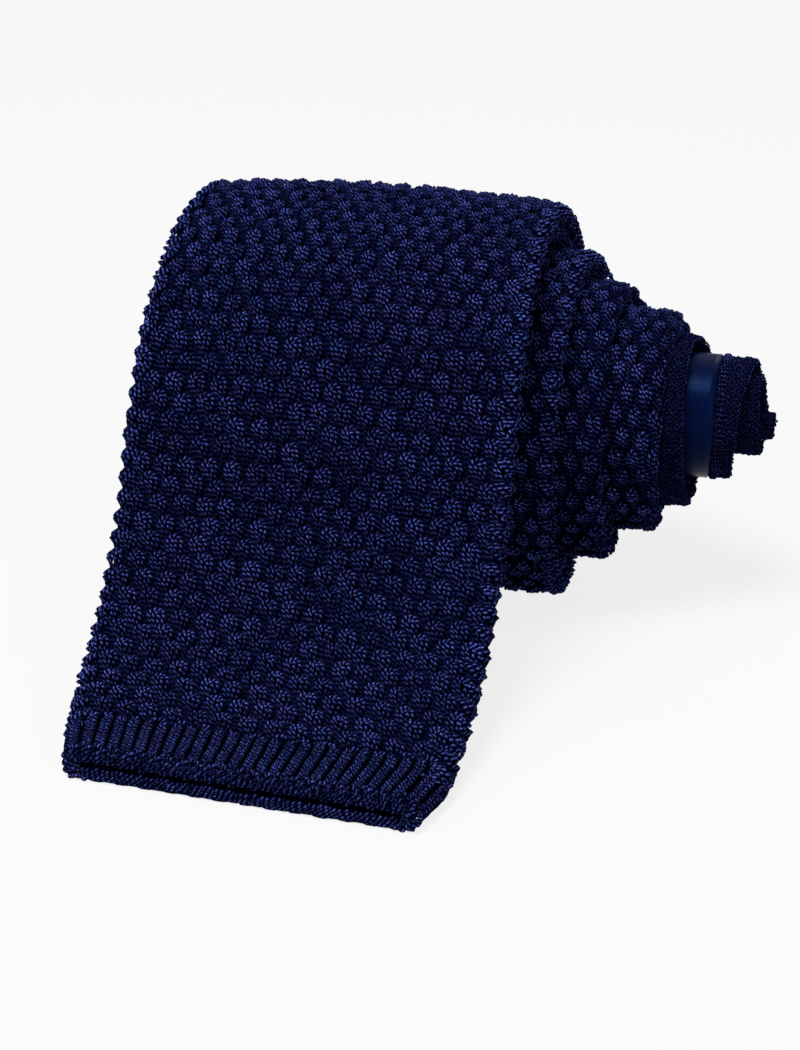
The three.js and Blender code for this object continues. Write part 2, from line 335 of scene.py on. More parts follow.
# %% Sections of the flap
def flap_sections(per_row=16, flat_steps=12):
    top = section(0)["middle"]
    toe = MOUTH_HEIGHT / 2
    drop = FLAP_REACH - FLAP_FLAT
    first = section(1 / STEPS_PER_TURN)["middle"].copy()
    first[0] = top[0]
    points = [first]
    points += [np.array([top[0], -r * drop, lerp(toe, top[2], h)]) for r, h in zip(FLAP["reach"], FLAP["height"])]
    points.append(np.array([top[0], -FLAP_REACH, toe]))
    spans = len(points) - 1
    made = []
    for step in range(1, (spans - 2) * per_row + 1):
        place = (1 + step / per_row) / spans
        here = smooth_curve(points, place)
        ahead = smooth_curve(points, min(1, place + 0.0005)) - smooth_curve(points, place - 0.0005)
        if step == (spans - 2) * per_row:
            ahead = np.array([0, -1.0, 0])
        made.append(flap_section(here, ahead, drop))
    for step in range(1, flat_steps + 1):
        here = np.array([top[0], -drop - FLAP_FLAT * step / flat_steps, toe])
        made.append(flap_section(here, np.array([0, -1.0, 0]), drop))
    return made


def flap_section(middle, ahead, drop):
    ahead = ahead / np.linalg.norm(ahead)
    reach = -middle[1] / drop
    swell = flap_at(reach, "swell")
    draw_in = max(0, (-middle[1] - drop) / FLAP_FLAT)
    return {
        "middle": middle,
        "out": np.cross(ahead, [1, 0, 0]),
        "thick": lerp(LAYER, MOUTH_HEIGHT, swell),
        "width": lerp(BLADE_WIDTH * flap_at(reach, "width"), MOUTH_WIDTH, draw_in),
        "skew": END_SKEW * flap_at(reach, "skew"),
        "crown": CROWN_HEIGHT * flap_at(reach, "crown"),
        "slit": lerp(SLIT, MOUTH_SLIT, swell),
    }


# %% The three tubes as rows of sections
blade = flap_sections()[::-1] + roll_sections(0, NECK_TURN)
tail = roll_sections(TAIL_TURN, NECK_TURN, "tail")
print("blade sections:", len(blade), "tail sections:", len(tail))


# %% [markdown]
# ## From flat cloth to its place on the tie
# A place on the cloth is given by how far round the tube it lies and which section it is on.
# Round the tube, 0 is the middle of the outer face, and the two folds are half circles.

# %% Place on the tube's surface
def on_tube(sections, around, lift=0.0):
    """Points in metres for every section, at the distances `around` (one row each, in mm)."""
    thick = np.array([s["thick"] for s in sections])[:, None]
    width = np.array([s["width"] for s in sections])[:, None]
    bend = thick / 2
    flat = width / 2 - bend
    side = np.sign(around)
    far = np.abs(around)
    angle = np.clip((far - flat) / bend, 0, math.pi)
    across = np.where(far < flat, far, flat + (bend + lift) * np.sin(angle))
    past = far - flat - math.pi * bend
    across = side * np.where(past > 0, flat - past, across)
    up = np.where(far < flat, bend + lift, (bend + lift) * np.cos(angle))
    share = across / width
    middle = np.array([s["middle"] for s in sections])
    out = np.array([s["out"] for s in sections])
    crown = np.array([s["crown"] for s in sections])[:, None]
    skew = np.array([s["skew"] for s in sections])[:, None]
    points = middle[:, None, :] + out[:, None, :] * (up + crown * (1 - 4 * share ** 2))[:, :, None]
    points[:, :, 0] += across
    points[:, :, 1] -= skew * share
    return (points + TO_ROW_FRAME) * MM


def edge_distance(sections):
    """How far round the tube the outermost point of a fold lies from the middle of the face."""
    return np.array([s["width"] / 2 - s["thick"] / 2 + math.pi * s["thick"] / 4 for s in sections])


def lengths(sections):
    """How far along the tie each section lies, in mm."""
    middles = np.array([s["middle"] for s in sections])
    steps = np.linalg.norm(np.diff(middles, axis=0), axis=1)
    return np.concatenate([[0], np.cumsum(steps)])


# %% Mesh from a grid of points
def grid_mesh(name, points, closed=False, cloth=None, ends=False):
    """Quads over a grid of points, with a UV map of the cloth's own flat place in metres."""
    rows, columns = points.shape[:2]
    last = columns if closed else columns - 1
    faces = []
    for i in range(rows - 1):
        for j in range(last):
            k = (j + 1) % columns
            faces.append((i * columns + j, i * columns + k, (i + 1) * columns + k, (i + 1) * columns + j))
    if ends:
        first_row = list(range(columns))
        faces += [tuple(first_row[::-1]), tuple((rows - 1) * columns + j for j in first_row)]
    mesh = bpy.data.meshes.new(name)
    mesh.from_pydata(points.reshape(-1, 3).tolist(), [], faces)
    if cloth is not None:
        layer = mesh.uv_layers.new(name="cloth")
        corners = np.zeros(len(mesh.loops), dtype=np.int64)
        mesh.loops.foreach_get("vertex_index", corners)
        layer.data.foreach_set("uv", cloth.reshape(-1, 2)[corners].ravel())
    mesh.shade_smooth()
    made = bpy.data.objects.new(name, mesh)
    scene.collection.objects.link(made)
    return made


# %% [markdown]
# ## Yarn material
# Silk yarn is twisted from thinner threads, and each twist catches the light as a small bright dot. Here these dots
# are painted highlights in the yarn's colour, and the side of each strand that faces out is painted lighter.
# The dots come from a pattern that runs along each strand and round it, on the strand's own UV map.
# A second map tells how far a strand stands out of the cloth. Deeper strands are painted darker, as painted shade for
# the little light that gets down into the gaps.
# The colour is a deep navy, with dots that lean to violet or to blue from one strand to the next.

# %% Twist of the yarn, as a node group
def twist_group():
    """Height of twisted yarn, from how far along and round the strand a point lies, and a brightness that holds
    painted highlight dots, painted shade on deep strands and random tone.
    """
    t = Tree(bpy.data.node_groups.new("yarn_twist", "ShaderNodeTree"))
    t.socket("Twist length", "Float", 0.9)
    t.socket("Height", "Float", out=True)
    t.socket("Tone and painted light", "Float", out=True)
    t.socket("Hue", "Float", out=True)
    start = t.add("NodeGroupInput")
    uv = t.add("ShaderNodeUVMap", uv_map="strand").outputs[0]
    place = t.add("ShaderNodeSeparateXYZ", {"Vector": uv})
    depth = t.add("ShaderNodeSeparateXYZ", {"Vector": t.add("ShaderNodeUVMap", uv_map="depth").outputs[0]})
    along = t.math("DIVIDE", place.outputs["X"], start.outputs["Twist length"])
    phase = t.math("ADD", along, place.outputs["Y"])
    wave = t.math("SINE", t.math("MULTIPLY", phase, 2 * math.pi))
    height = t.math("ADD", t.math("MULTIPLY", wave, 0.5), 0.5)
    # Painted light: the side of each strand that faces out of the cloth gets a brighter colour.
    painted_outer_side_light = t.math("COSINE", t.math("MULTIPLY", place.outputs["Y"], 2 * math.pi))
    painted_outer_side_light = t.math("SUBTRACT", 0.6, t.math("MULTIPLY", painted_outer_side_light, 0.4))
    noise = t.add("ShaderNodeTexNoise", {"Vector": uv, "Scale": 1.9, "Detail": 1.0}).outputs["Fac"]
    # Painted shade: the deeper a strand lies in the cloth, the darker its colour.
    light = t.add("ShaderNodeMapRange", {
        "Value": depth.outputs["X"], "From Min": -0.12, "From Max": 0.72, "To Min": 0.19, "To Max": 1.2,
    }).outputs[0]
    # Painted highlights: a bright dot of colour on the crest of each twist.
    painted_highlight_dots = t.math("MULTIPLY", t.math("POWER", height, 3.0), painted_outer_side_light)
    spread = t.math("ADD", t.math("MULTIPLY", noise, 2.4), -0.55)
    spread = t.math("MAXIMUM", spread, 0.1)
    tone_with_painted_light = t.math("MULTIPLY", t.math("MULTIPLY", painted_highlight_dots, light), spread)
    tone_with_painted_light = t.math("MULTIPLY", tone_with_painted_light, t.math("ADD", t.math("MULTIPLY", depth.outputs["Y"], 0.5), 0.75))
    hue = t.add("ShaderNodeTexNoise", {"Vector": uv, "Scale": 0.5, "Detail": 0.0}).outputs["Fac"]
    end = t.add("NodeGroupOutput")
    t.tree.links.new(height, end.inputs["Height"])
    t.tree.links.new(tone_with_painted_light, end.inputs["Tone and painted light"])
    t.tree.links.new(hue, end.inputs["Hue"])
    return t.tree


yarn_twist = twist_group()


# %% Silk yarn
def silk_yarn(name, dark, violet, blue, twist_length, roughness, bump):
    made = bpy.data.materials.new(name)
    made.use_nodes = True
    t = Tree(made.node_tree)
    shader = made.node_tree.nodes["Principled BSDF"]
    twist = t.add("ShaderNodeGroup", {}, node_tree=yarn_twist)
    twist.inputs["Twist length"].default_value = twist_length
    # Colour of the painted highlight dots, violet or blue from strand to strand. The base colour mixes up to it from
    # the dark yarn colour.
    painted_highlight_colour = t.add("ShaderNodeMix", {"Factor": twist.outputs["Hue"]}, data_type="RGBA")
    painted_highlight_colour.inputs["A"].default_value = (*violet, 1)
    painted_highlight_colour.inputs["B"].default_value = (*blue, 1)
    colour = t.add("ShaderNodeMix", {"Factor": twist.outputs["Tone and painted light"]}, data_type="RGBA")
    colour.inputs["A"].default_value = (*dark, 1)
    t.tree.links.new(painted_highlight_colour.outputs["Result"], colour.inputs["B"])
    relief = t.add("ShaderNodeBump", {"Height": twist.outputs["Height"], "Strength": bump, "Distance": 0.0001})
    t.tree.links.new(colour.outputs["Result"], shader.inputs["Base Color"])
    t.tree.links.new(relief.outputs[0], shader.inputs["Normal"])
    shader.inputs["Roughness"].default_value = roughness
    shader.inputs["Specular IOR Level"].default_value = 0.0
    shader.inputs["Sheen Weight"].default_value = 0.04
    shader.inputs["Sheen Roughness"].default_value = 0.3
    shader.inputs["Sheen Tint"].default_value = (0.25, 0.28, 1.0, 1)
    return made


# The dark colour fills the painted shade and the space between the dots. Violet and blue are the colours of the
# painted highlight dots.
YARN_DARK = (0.0001, 0.0003, 0.0050)
YARN_VIOLET_HIGHLIGHT = (0.12, 0.09, 0.43)
YARN_BLUE_HIGHLIGHT = (0.02, 0.095, 0.35)
ribbed_silk = silk_yarn("ribbed_silk", YARN_DARK, YARN_VIOLET_HIGHLIGHT, YARN_BLUE_HIGHLIGHT, 0.8, 0.34, 1.0)

# %% Small stitches, as a node group
def stitch_group():
    """Height of small V stitches in columns, on the cloth's own UV map."""
    t = Tree(bpy.data.node_groups.new("small_stitches", "ShaderNodeTree"))
    t.socket("Stitches a metre", "Float", 570.0)
    t.socket("Height", "Float", out=True)
    start = t.add("NodeGroupInput").outputs[0]
    uv = t.add("ShaderNodeUVMap", uv_map="cloth").outputs[0]
    fine = t.add("ShaderNodeVectorMath", {0: uv}, operation="SCALE")
    t.tree.links.new(start, fine.inputs["Scale"])
    place = t.add("ShaderNodeSeparateXYZ", {"Vector": fine.outputs[0]})
    from_middle = t.math("ABSOLUTE", t.math("SUBTRACT", t.math("FRACT", place.outputs["X"]), 0.5))
    slant = t.math("SUBTRACT", place.outputs["Y"], from_middle)
    wave = t.math("SINE", t.math("MULTIPLY", slant, 2 * math.pi))
    wave = t.math("ADD", t.math("MULTIPLY", wave, 0.5), 0.5)
    wave = t.math("MULTIPLY", wave, t.math("SUBTRACT", 1.0, from_middle))
    fuzz = t.add("ShaderNodeTexNoise", {"Vector": fine.outputs[0], "Scale": 2.0, "Detail": 2.0}).outputs["Fac"]
    height = t.math("ADD", t.math("MULTIPLY", wave, 0.7), t.math("MULTIPLY", fuzz, 0.3))
    t.add("NodeGroupOutput", {"Height": height})
    return t.tree


small_stitches = stitch_group()


# %% Dark cloth behind the yarn
def backing_material(name, colour, stitches_a_metre):
    made = bpy.data.materials.new(name)
    made.use_nodes = True
    t = Tree(made.node_tree)
    shader = made.node_tree.nodes["Principled BSDF"]
    stitches = t.add("ShaderNodeGroup", {}, node_tree=small_stitches)
    stitches.inputs["Stitches a metre"].default_value = stitches_a_metre
    height = stitches.outputs["Height"]
    # Painted shade: the small stitches are darker where they lie lower, in their grooves.
    tone_with_painted_light = t.add("ShaderNodeMix", {"Factor": height}, data_type="RGBA")
    tone_with_painted_light.inputs["A"].default_value = (colour[0] * 0.2, colour[1] * 0.2, colour[2] * 0.2, 1)
    tone_with_painted_light.inputs["B"].default_value = (*colour, 1)
    relief = t.add("ShaderNodeBump", {"Height": height, "Strength": 0.6, "Distance": 0.0003})
    t.tree.links.new(tone_with_painted_light.outputs["Result"], shader.inputs["Base Color"])
    t.tree.links.new(relief.outputs[0], shader.inputs["Normal"])
    shader.inputs["Roughness"].default_value = 0.9
    shader.inputs["Specular IOR Level"].default_value = 0.0
    return made


# Near-black navy: painted shade for the gaps between the loops of yarn.
backing = backing_material("knit_backing", (0.0016, 0.0016, 0.009), 570.0)


# %% [markdown]
# ## The cloth behind the yarn
# Each tube gets a smooth dark body a little below the surface of the yarn.
# It has an outer wall and a slit inside, so the open end shows two walls of knit with a dark gap between them.
# It takes the place of the plain solid, and what shows between the loops of yarn is this cloth. It stands for the
# knit's inner layers, and its near-black colour is painted shade for the deep gaps between the loops.

# %% Hollow tube
def ring_places(sections, face_points=16, fold_points=8):
    """Distances round the tube for one closed ring of points, per section."""
    rows = []
    for s in sections:
        bend = s["thick"] / 2
        flat = s["width"] / 2 - bend
        turn = math.pi * bend
        face = np.linspace(-flat, flat, face_points)
        fold = flat + turn * np.linspace(0, 1, fold_points + 1)[1:]
        under = flat + turn + np.linspace(0, flat, face_points // 2 + 1)[1:]
        right = np.concatenate([fold, under])
        rows.append(np.concatenate([face, right, -right[::-1][1:]]))
    return np.array(rows)


def hollow_tube(name, sections, sink):
    """Closed wall between the outside of a tube and the slit inside it."""
    outer_places = ring_places(sections)
    outer = on_tube(sections, outer_places, -sink)
    inner_sections = [
        {**s, "thick": s["slit"], "width": s["width"] - 2 * FOLD_WALL} for s in sections
    ]
    inner = on_tube(inner_sections, ring_places(inner_sections))
    ring = outer.shape[1]
    along = np.repeat(lengths(sections)[:, None], ring, axis=1)
    flat_place = np.stack([outer_places, along], axis=2) * MM
    points = np.concatenate([outer, inner[::-1], outer[:1]])
    cloth = np.concatenate([flat_place, flat_place[::-1], flat_place[:1]])
    made = grid_mesh(name, points, closed=True, cloth=cloth)
    shell = bmesh.new()
    shell.from_mesh(made.data)
    bmesh.ops.remove_doubles(shell, verts=shell.verts, dist=1e-7)
    shell.to_mesh(made.data)
    shell.free()
    return made


SINK = 0.4
blade_body = hollow_tube("blade_cloth", blade, SINK)
tail_body = hollow_tube("tail_cloth", tail, SINK)
for body, node in ((blade_body, "wide_blade"), (tail_body, "narrow_tail")):
    body.data.materials.append(backing)

# %% [markdown]
# ## Knit, made flat and wrapped
# The cloth is an openwork rib knit: in each column, long loops of doubled yarn hang under one another.
# Neighbouring columns are offset by half a loop, so the round heads of the loops lie in a brick pattern.
# Real loops of yarn cost more faces than a bump pattern, but they give the open dark gaps and the rough edges.
# One Geometry Nodes tree repeats a loop over a flat grid, then moves every point to its place on the tie.

# %% One loop of yarn
def loop_curve(name, strands):
    """Open strands: columns across, rows up, mm out of the cloth. One off the middle line is mirrored."""
    curve = bpy.data.curves.new(name, "CURVE")
    curve.dimensions = "3D"
    for strand in strands:
        points = list(strand)
        if strand[-1][0] != 0:
            points += [(-x, y, z) for x, y, z in reversed(strand)]
        spline = curve.splines.new("POLY")
        spline.points.add(len(points) - 1)
        for point, place in zip(spline.points, points):
            point.co = (*place, 1)
    made = bpy.data.objects.new(name, curve)
    scene.collection.objects.link(made)
    return made


tuck_loop = loop_curve("tuck_loop", [
    [(-0.34, -1.02, -0.45), (-0.35, -0.72, -0.42), (-0.38, -0.40, -0.30), (-0.56, -0.23, 0.36),
     (-0.62, -0.10, 0.68), (-0.46, 0.02, 0.72), (-0.15, 0.08, 0.56)],
    [(-0.12, -1.02, -0.40), (-0.12, -0.72, -0.28), (-0.13, -0.40, -0.16), (-0.20, -0.24, 0.44),
     (-0.27, -0.14, 0.72), (-0.16, -0.05, 0.78), (-0.05, -0.03, 0.76)],
])


# %% Tree that repeats a loop and wraps it
def wrapped_knit_tree():
    t = Tree(bpy.data.node_groups.new("wrapped_knit", "GeometryNodeTree"))
    t.tree.is_modifier = True
    t.socket("Geometry", "Geometry")
    t.socket("Loop", "Object")
    t.socket("Columns", "Int", 10)
    t.socket("Rows", "Int", 10)
    t.socket("Half drop", "Float", 0.5)
    t.socket("From share", "Float", 0.0)
    t.socket("To share", "Float", 1.0)
    t.socket("Overlap", "Float", 0.0)
    t.socket("Width at start", "Float", 1.0)
    t.socket("Width at end", "Float", 1.0)
    t.socket("Strand radius", "Float", 0.00029)
    t.socket("Unevenness", "Float", 0.12)
    t.socket("Edge height", "Float", 0.4)
    t.socket("Sides", "Int", 4)
    t.socket("Seed", "Int", 1)
    t.socket("Yarn", "Material")
    t.socket("Geometry", "Geometry", out=True)
    start = t.add("NodeGroupInput").outputs
    index = t.add("GeometryNodeInputIndex").outputs[0]
    column = t.math("FLOORED_MODULO", index, start["Columns"])
    row = t.math("FLOOR", t.math("DIVIDE", t.math("ADD", index, 0.5), start["Columns"]))
    drop = t.math("MULTIPLY", t.math("FLOORED_MODULO", column, 2.0), start["Half drop"])
    grid = t.add("ShaderNodeCombineXYZ", {
        "X": t.math("ADD", column, 0.5),
        "Y": t.math("ADD", row, drop),
    })
    shift = t.add("FunctionNodeRandomValue", {"Seed": start["Seed"]}, data_type="FLOAT_VECTOR")
    shift.inputs["Min"].default_value = (-1, -0.4, -2)
    shift.inputs["Max"].default_value = (1, 0.4, 2)
    uneven = t.add("ShaderNodeVectorMath", {0: shift.outputs[0]}, operation="SCALE")
    t.tree.links.new(start["Unevenness"], uneven.inputs["Scale"])
    place = t.add("ShaderNodeVectorMath", {0: grid.outputs[0], 1: uneven.outputs[0]})
    count = t.math("MULTIPLY", start["Columns"], t.math("ADD", start["Rows"], 2))
    points = t.add("GeometryNodePoints", {"Count": count, "Position": place.outputs[0]})
    cells = t.add("GeometryNodeStoreNamedAttribute", {
        "Geometry": points.outputs[0], "Name": "cell", "Value": index,
    })
    loop = t.add("GeometryNodeObjectInfo", {"Object": start["Loop"]})
    width = t.add("ShaderNodeMapRange", {
        "Value": t.math("DIVIDE", row, start["Rows"]), "From Min": 0.65, "From Max": 0.95,
        "To Min": start["Width at start"], "To Max": start["Width at end"],
    }).outputs[0]
    scale = t.add("ShaderNodeCombineXYZ", {"X": width, "Y": 1.0, "Z": 1.0}).outputs[0]
    copies = t.add("GeometryNodeInstanceOnPoints", {
        "Points": cells.outputs[0], "Instance": loop.outputs["Geometry"], "Scale": scale,
    })
    strands = t.add("GeometryNodeRealizeInstances", {"Geometry": copies.outputs[0]}).outputs[0]
    made_at = t.add("GeometryNodeInputPosition").outputs[0]
    drift = t.add("ShaderNodeTexNoise", {"Vector": made_at, "Scale": 2.3, "Detail": 0.0}).outputs["Color"]
    drift = t.add("ShaderNodeVectorMath", {0: drift, 1: (0.5, 0.5, 0.5)}, operation="SUBTRACT").outputs[0]
    drift = t.add("ShaderNodeVectorMath", {0: drift, 1: (2.4, 0.5, 5.0)}, operation="MULTIPLY").outputs[0]
    wander = t.add("ShaderNodeVectorMath", {0: drift}, operation="SCALE")
    t.tree.links.new(start["Unevenness"], wander.inputs["Scale"])
    loose = t.add("ShaderNodeVectorMath", {0: made_at, 1: wander.outputs[0]})
    flat = t.add("ShaderNodeSeparateXYZ", {"Vector": loose.outputs[0]}).outputs
    across = t.math("DIVIDE", flat["X"], start["Columns"])
    across = t.math("MINIMUM", t.math("MAXIMUM", across, 0.0005), 0.9995)
    share = t.math("DIVIDE", flat["Y"], start["Rows"])
    along = t.math("MULTIPLY", share, t.math("SUBTRACT", start["To share"], start["From share"]))
    along = t.math("ADD", along, start["From share"])
    where = t.add("ShaderNodeCombineXYZ", {"X": across, "Y": along}).outputs[0]
    wrap = t.add("GeometryNodeInputNamedAttribute", {"Name": "wrap"}, data_type="FLOAT_VECTOR").outputs[0]
    found = {}
    for name, value in (
        ("place", t.add("GeometryNodeInputPosition").outputs[0]),
        ("out", t.add("GeometryNodeInputNamedAttribute", {"Name": "way_out"}, data_type="FLOAT_VECTOR").outputs[0]),
    ):
        found[name] = t.add("GeometryNodeSampleUVSurface", {
            "Mesh": start["Geometry"], "Value": value, "UV Map": wrap, "Sample UV": where,
        }, data_type="FLOAT_VECTOR")
    out = t.add("ShaderNodeVectorMath", {0: found["out"].outputs[0]}, operation="NORMALIZE").outputs[0]
    from_edge = t.math("MINIMUM", flat["X"], t.math("SUBTRACT", start["Columns"], flat["X"]))
    calm = t.add("ShaderNodeMapRange", {
        "Value": from_edge, "From Min": 1.0, "From Max": 4.0, "To Min": start["Edge height"], "To Max": 1.0,
    }).outputs[0]
    height = t.math("MULTIPLY", flat["Z"], t.math("MULTIPLY", calm, MM))
    lift = t.add("ShaderNodeVectorMath", {0: out}, operation="SCALE")
    t.tree.links.new(height, lift.inputs["Scale"])
    free = t.add("ShaderNodeVectorMath", {0: found["place"].outputs[0], 1: lift.outputs[0]})
    floor_height = t.add("ShaderNodeCombineXYZ", {"X": -1.0, "Y": -1.0, "Z": start["Strand radius"]})
    target = t.add("ShaderNodeVectorMath", {0: free.outputs[0], 1: floor_height.outputs[0]}, operation="MAXIMUM")
    beyond = t.math("MAXIMUM", t.math("MULTIPLY", flat["Y"], -1.0), t.math("SUBTRACT", flat["Y"], start["Rows"]))
    beyond = t.math("GREATER_THAN", beyond, start["Overlap"])
    lost = t.add("FunctionNodeBooleanMath", {0: found["place"].outputs["Is Valid"]}, operation="NOT")
    off = t.add("FunctionNodeBooleanMath", {0: lost.outputs[0], 1: beyond}, operation="OR")
    kept = t.add("GeometryNodeStoreNamedAttribute", {
        "Geometry": strands, "Name": "off", "Value": off.outputs[0],
    }, data_type="BOOLEAN")
    normals = t.add("GeometryNodeStoreNamedAttribute", {
        "Geometry": kept.outputs[0], "Name": "up", "Value": out,
    }, data_type="FLOAT_VECTOR")
    proud = t.add("GeometryNodeStoreNamedAttribute", {
        "Geometry": normals.outputs[0], "Name": "proud", "Value": flat["Z"],
    })
    moved = t.add("GeometryNodeSetPosition", {"Geometry": proud.outputs[0], "Position": target.outputs[0]})
    gone = t.add("GeometryNodeInputNamedAttribute", {"Name": "off"}, data_type="BOOLEAN").outputs[0]
    cut = t.add("GeometryNodeDeleteGeometry", {"Geometry": moved.outputs[0], "Selection": gone})
    up = t.add("GeometryNodeInputNamedAttribute", {"Name": "up"}, data_type="FLOAT_VECTOR").outputs[0]
    turned = t.add("GeometryNodeSetCurveNormal", {"Curve": cut.outputs[0], "Normal": up}, mode="FREE")
    cell = t.add("GeometryNodeInputNamedAttribute", {"Name": "cell"}, data_type="FLOAT").outputs[0]
    length = t.add("GeometryNodeSplineParameter").outputs["Length"]
    run = t.math("ADD", t.math("DIVIDE", length, MM), t.math("MULTIPLY", cell, 0.618))
    measured = t.add("GeometryNodeStoreNamedAttribute", {
        "Geometry": turned.outputs[0], "Name": "run", "Value": run,
    })
    circle = t.add("GeometryNodeCurvePrimitiveCircle", {
        "Resolution": start["Sides"], "Radius": start["Strand radius"],
    })
    rolled = t.add("GeometryNodeTransform", {"Geometry": circle.outputs[0], "Rotation": (0, 0, -math.pi / 2)})
    factor = t.add("GeometryNodeSplineParameter").outputs["Factor"]
    profile = t.add("GeometryNodeStoreNamedAttribute", {
        "Geometry": rolled.outputs[0], "Name": "round", "Value": factor,
    })
    tubes = t.add("GeometryNodeCurveToMesh", {
        "Curve": measured.outputs[0], "Profile Curve": profile.outputs[0],
    })
    strand = t.add("ShaderNodeCombineXYZ", {
        "X": t.add("GeometryNodeInputNamedAttribute", {"Name": "run"}, data_type="FLOAT").outputs[0],
        "Y": t.add("GeometryNodeInputNamedAttribute", {"Name": "round"}, data_type="FLOAT").outputs[0],
    })
    mapped = t.add("GeometryNodeStoreNamedAttribute", {
        "Geometry": tubes.outputs[0], "Name": "strand", "Value": strand.outputs[0],
    }, data_type="FLOAT2", domain="CORNER")
    depth = t.add("ShaderNodeCombineXYZ", {
        "X": t.add("GeometryNodeInputNamedAttribute", {"Name": "proud"}, data_type="FLOAT").outputs[0],
        "Y": t.math("FRACT", t.math("MULTIPLY", cell, 0.618)),
    })
    deeper = t.add("GeometryNodeStoreNamedAttribute", {
        "Geometry": mapped.outputs[0], "Name": "depth", "Value": depth.outputs[0],
    }, data_type="FLOAT2", domain="CORNER")
    smooth = t.add("GeometryNodeSetShadeSmooth", {"Geometry": deeper.outputs[0]})
    whole = t.add("GeometryNodeRealizeInstances", {"Geometry": smooth.outputs[0]})
    dressed = t.add("GeometryNodeSetMaterial", {"Geometry": whole.outputs[0], "Material": start["Yarn"]})
    t.add("NodeGroupOutput", {"Geometry": dressed.outputs[0]})
    return t.tree


wrapped_knit = wrapped_knit_tree()


# %% Piece of knit on a given face
def set_inputs(modifier, values):
    """Fills a modifier's inputs by the identifiers of its tree's sockets."""
    for item in modifier.node_group.interface.items_tree:
        if item.item_type == "SOCKET" and item.name in values:
            modifier[item.identifier] = values[item.name]


def finished(carrier, name):
    """The evaluated result as a plain mesh object, with the carrier removed."""
    graph = bpy.context.evaluated_depsgraph_get()
    mesh = bpy.data.meshes.new_from_object(carrier.evaluated_get(graph))
    for extra in ("cell", "off", "up", "run", "round", "proud"):
        if extra in mesh.attributes:
            mesh.attributes.remove(mesh.attributes[extra])
    mesh.name = name
    made = bpy.data.objects.new(name, mesh)
    scene.collection.objects.link(made)
    bpy.data.objects.remove(carrier)
    triangles = sum(len(p.vertices) - 2 for p in mesh.polygons)
    print(name, "triangles:", triangles)
    return made


def knit_over(name, points, along, columns, rows, **values):
    """Knit over a grid of points: rows of points lie at the distances `along`, columns at equal shares."""
    carrier = grid_mesh(name + "_face", points)
    wrap = np.zeros((*points.shape[:2], 2))
    wrap[:, :, 0] = np.linspace(0, 1, points.shape[1])[None, :]
    wrap[:, :, 1] = (along / along[-1])[:, None]
    layer = carrier.data.uv_layers.new(name="wrap")
    corners = np.zeros(len(carrier.data.loops), dtype=np.int64)
    carrier.data.loops.foreach_get("vertex_index", corners)
    layer.data.foreach_set("uv", wrap.reshape(-1, 2)[corners].ravel())
    normals = np.zeros(len(carrier.data.vertices) * 3)
    carrier.data.vertex_normals.foreach_get("vector", normals)
    carrier.data.attributes.new("way_out", "FLOAT_VECTOR", "POINT").data.foreach_set("vector", normals)
    modifier = carrier.modifiers.new("knit", "NODES")
    modifier.node_group = wrapped_knit
    set_inputs(modifier, {"Loop": tuck_loop, "Columns": columns, "Rows": rows, "Yarn": ribbed_silk, **values})
    return finished(carrier, name)


def knit_on(name, sections, start, end, columns, rows, **values):
    """Knit between two distances round the tube, on every section given."""
    steps = np.linspace(0, 1, columns * 5 + 1)[None, :]
    around = start[:, None] * (1 - steps) + end[:, None] * steps
    return knit_over(name, on_tube(sections, around), lengths(sections), columns, rows, **values)


# %% Knit on the outer turn and the flap
WALE = 1.76
COURSE = 6.4
FOLD_REACH = 1.0
HEM_SECTIONS = 16
FLAP_SECTIONS = 124


def half_face(sections):
    """Distance from the middle of a face to the start of its fold, per section."""
    return np.array([s["width"] / 2 - s["thick"] / 2 for s in sections])


def past_fold(sections, more=FOLD_REACH):
    """Distance from the middle of a face round the fold and a little on, per section."""
    return half_face(sections) + np.array([math.pi * s["thick"] / 2 for s in sections]) + more


def rows_on(sections, course=COURSE):
    return max(1, round(lengths(sections)[-1] / course))


def joined(before, face, after):
    """A face with a little more at each end, and the shares of the length where the face itself lies."""
    sections = before + face + after
    far = lengths(sections) / lengths(sections)[-1]
    return sections, far[len(before)], far[len(before) + len(face) - 1]


FULL_COLUMNS = 37
MORE = 4 / 72
front = blade[HEM_SECTIONS:FLAP_SECTIONS + 1]
wide_faces = {
    "front_knit": ([], front, roll_sections(0, MORE)[1:], 1.06, 0.74),
    "outer_turn_knit": (
        blade[FLAP_SECTIONS - 7:FLAP_SECTIONS], roll_sections(0, 0.5), roll_sections(0.5, 0.5 + MORE)[1:], 0.74, 0.85,
    ),
    "outer_turn_knit_under": (roll_sections(0.5 - MORE, 0.5)[:-1], roll_sections(0.5, 1.0), [], 0.85, 0.85),
}
knit_pieces = []
for name, (before, face, after, width_at_start, width_at_end) in wide_faces.items():
    sections, from_share, to_share = joined(before, face, after)
    reach = past_fold(sections)
    knit_pieces.append(knit_on(
        name, sections, -reach, reach, FULL_COLUMNS, rows_on(face), Seed=len(name),
        **{"From share": from_share, "To share": to_share, "Overlap": 0.15},
        **{"Width at start": width_at_start, "Width at end": width_at_end},
    ))

# %% [markdown]
# ## Knit on the inner turns
# The middle of the roll is pushed out to the right, so each inner turn shows a strip of its outer face there.
# At the left it shows a strip of its inner face, down in the hollow.
# Only those strips get loops. The rest lies between two turns, where nobody sees it.
# The strips start at the fold, so their columns follow the edge, as the columns of a real tie do.

# %% Lighter loop for the places that are seen less
plain_loop = loop_curve("plain_loop", [
    [(-0.35, -1.04, -0.44), (-0.40, -0.46, -0.18), (-0.60, -0.15, 0.66), (-0.24, 0.04, 0.62)],
    [(-0.12, -1.06, -0.25), (-0.13, -0.46, 0.22), (-0.25, -0.18, 0.70), (-0.10, -0.07, 0.74)],
])

